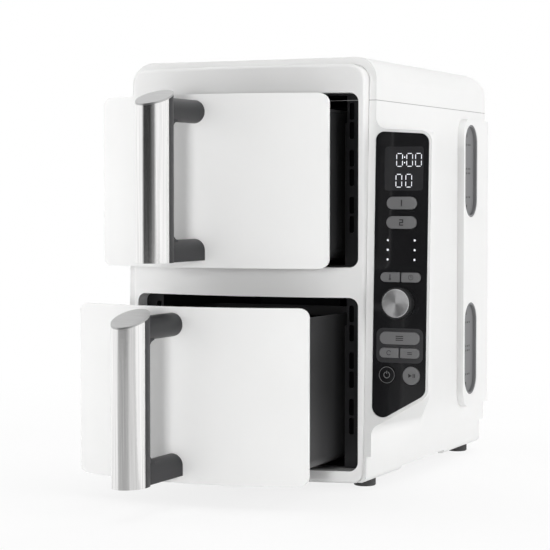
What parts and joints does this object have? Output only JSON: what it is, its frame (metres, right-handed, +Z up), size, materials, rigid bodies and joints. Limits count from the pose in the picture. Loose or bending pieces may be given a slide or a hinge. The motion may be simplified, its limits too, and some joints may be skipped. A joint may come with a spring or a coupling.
{
  "type": "air fryer",
  "caption": "Stacked two-drawer air fryer with a bowed front, bar handles, lift-out crisper plates and a side control pod with a display, dial and buttons.",
  "frame": {"origin": "middle of the footprint of the part as stored, on the table plane", "axes": "+X to the right towards the control pod, +Y to the back, +Z up"},
  "size_m": [0.303, 0.5464, 0.385],
  "materials": {
    "white_shell": "satin gloss white moulding",
    "white_panel": "gloss white moulding",
    "black_glass": "polished black front plate",
    "display_dark": "smoked display window",
    "button_grey": "satin grey caps",
    "light_white": "clear light ends",
    "dark_plastic": "dark grey moulding",
    "steel_trim": "brushed along the grip",
    "dial_metal": "turned face, dark grooved skirt",
    "coated_basket": "dark non-stick coating",
    "cavity_steel": "dark baked coating",
    "grille_grey": "mid grey moulding",
    "rubber_dark": "soft matt rubber",
    "plain_steel": "mill finish",
    "fan_metal": "pressed sheet",
    "motor_metal": "dull grey can",
    "board_green": "resin board"
  },
  "bodies": {
    "housing": {"front_fascia": "white_shell", "left_cover": "white_shell", "right_cover": "white_shell", "top_cover": "white_shell", "rear_cover": "white_shell", "rear_shroud": "white_shell", "base_tray": "white_shell", "side_grilles": "grille_grey", "rubber_feet": "rubber_dark", "mid_deck": "plain_steel", "power_board": "board_green", "cord_gland": "dark_plastic", "cover_screws": "plain_steel", "control_glass": "black_glass", "control_carrier": "dark_plastic", "control_board": "board_green", "display_lens": "display_dark", "display_module": "dark_plastic", "mode_lights": "light_white", "dial_encoder": "plain_steel", "upper_cavity": "cavity_steel", "upper_air_guard": "cavity_steel", "upper_heater": "plain_steel", "upper_motor": "motor_metal", "lower_cavity": "cavity_steel", "lower_air_guard": "cavity_steel", "lower_heater": "plain_steel", "lower_motor": "motor_metal"},
    "upper_drawer": {"upper_front_panel": "white_panel", "upper_panel_liner": "dark_plastic", "upper_basket": "coated_basket", "upper_handle_core": "dark_plastic", "upper_handle_sleeve": "steel_trim", "upper_handle_cap": "steel_trim", "upper_handle_screws": "plain_steel"},
    "upper_crisper": {"upper_crisper_plate": "coated_basket", "upper_crisper_pads": "rubber_dark"},
    "upper_fan_wheel": {"upper_fan": "fan_metal"},
    "lower_drawer": {"lower_front_panel": "white_panel", "lower_panel_liner": "dark_plastic", "lower_basket": "coated_basket", "lower_handle_core": "dark_plastic", "lower_handle_sleeve": "steel_trim", "lower_handle_cap": "steel_trim", "lower_handle_screws": "plain_steel"},
    "lower_crisper": {"lower_crisper_plate": "coated_basket", "lower_crisper_pads": "rubber_dark"},
    "lower_fan_wheel": {"lower_fan": "fan_metal"},
    "dial": {"dial": "dial_metal"},
    "button_zone_1": {"button_zone_1": "button_grey"},
    "button_zone_2": {"button_zone_2": "button_grey"},
    "button_temp": {"button_temp": "button_grey"},
    "button_time": {"button_time": "button_grey"},
    "button_stack": {"button_stack": "button_grey"},
    "button_sync": {"button_sync": "button_grey"},
    "button_match": {"button_match": "button_grey"},
    "button_power": {"button_power": "button_grey"},
    "button_start": {"button_start": "button_grey"}
  },
  "joints": [
    {"name": "upper_drawer_slide", "type": "slide", "parent": "housing", "child": "upper_drawer", "axis": [0, -1, 0], "range_m": [-0.065, 0.135]},
    {"name": "upper_crisper_lift", "type": "slide", "parent": "upper_drawer", "child": "upper_crisper", "axis": [0, 0, 1], "range_m": [0, 0.115]},
    {"name": "upper_fan_spin", "type": "hinge", "parent": "housing", "child": "upper_fan_wheel", "pos_m": [-0.023, 0.2135, 0.2758], "axis": [0, -1, 0], "continuous": true},
    {"name": "lower_drawer_slide", "type": "slide", "parent": "housing", "child": "lower_drawer", "axis": [0, -1, 0], "range_m": [-0.1074, 0.0926]},
    {"name": "lower_crisper_lift", "type": "slide", "parent": "lower_drawer", "child": "lower_crisper", "axis": [0, 0, 1], "range_m": [0, 0.115]},
    {"name": "lower_fan_spin", "type": "hinge", "parent": "housing", "child": "lower_fan_wheel", "pos_m": [-0.023, 0.2135, 0.0952], "axis": [0, -1, 0], "continuous": true},
    {"name": "dial_turn", "type": "hinge", "parent": "housing", "child": "dial", "pos_m": [0.1243, -0.04154, 0.16819], "axis": [0, -0.9994, 0.0354], "continuous": true},
    {"name": "zone_1_press", "type": "slide", "parent": "housing", "child": "button_zone_1", "axis": [0, 0.9994, -0.0354], "range_m": [0, 0.0008], "stiffness_N_per_m": 300, "springref_m": -0.0004},
    {"name": "zone_2_press", "type": "slide", "parent": "housing", "child": "button_zone_2", "axis": [0, 0.9994, -0.0354], "range_m": [0, 0.0008], "stiffness_N_per_m": 300, "springref_m": -0.0004},
    {"name": "temp_press", "type": "slide", "parent": "housing", "child": "button_temp", "axis": [0, 0.9994, -0.0354], "range_m": [0, 0.0008], "stiffness_N_per_m": 300, "springref_m": -0.0004},
    {"name": "time_press", "type": "slide", "parent": "housing", "child": "button_time", "axis": [0, 0.9994, -0.0354], "range_m": [0, 0.0008], "stiffness_N_per_m": 300, "springref_m": -0.0004},
    {"name": "stack_press", "type": "slide", "parent": "housing", "child": "button_stack", "axis": [0, 0.9994, -0.0354], "range_m": [0, 0.0008], "stiffness_N_per_m": 300, "springref_m": -0.0004},
    {"name": "sync_press", "type": "slide", "parent": "housing", "child": "button_sync", "axis": [0, 0.9994, -0.0354], "range_m": [0, 0.0008], "stiffness_N_per_m": 300, "springref_m": -0.0004},
    {"name": "match_press", "type": "slide", "parent": "housing", "child": "button_match", "axis": [0, 0.9994, -0.0354], "range_m": [0, 0.0008], "stiffness_N_per_m": 300, "springref_m": -0.0004},
    {"name": "power_press", "type": "slide", "parent": "housing", "child": "button_power", "axis": [0, 0.9994, -0.0354], "range_m": [0, 0.0008], "stiffness_N_per_m": 300, "springref_m": -0.0004},
    {"name": "start_press", "type": "slide", "parent": "housing", "child": "button_start", "axis": [0, 0.9994, -0.0354], "range_m": [0, 0.0008], "stiffness_N_per_m": 300, "springref_m": -0.0004}
  ]
}
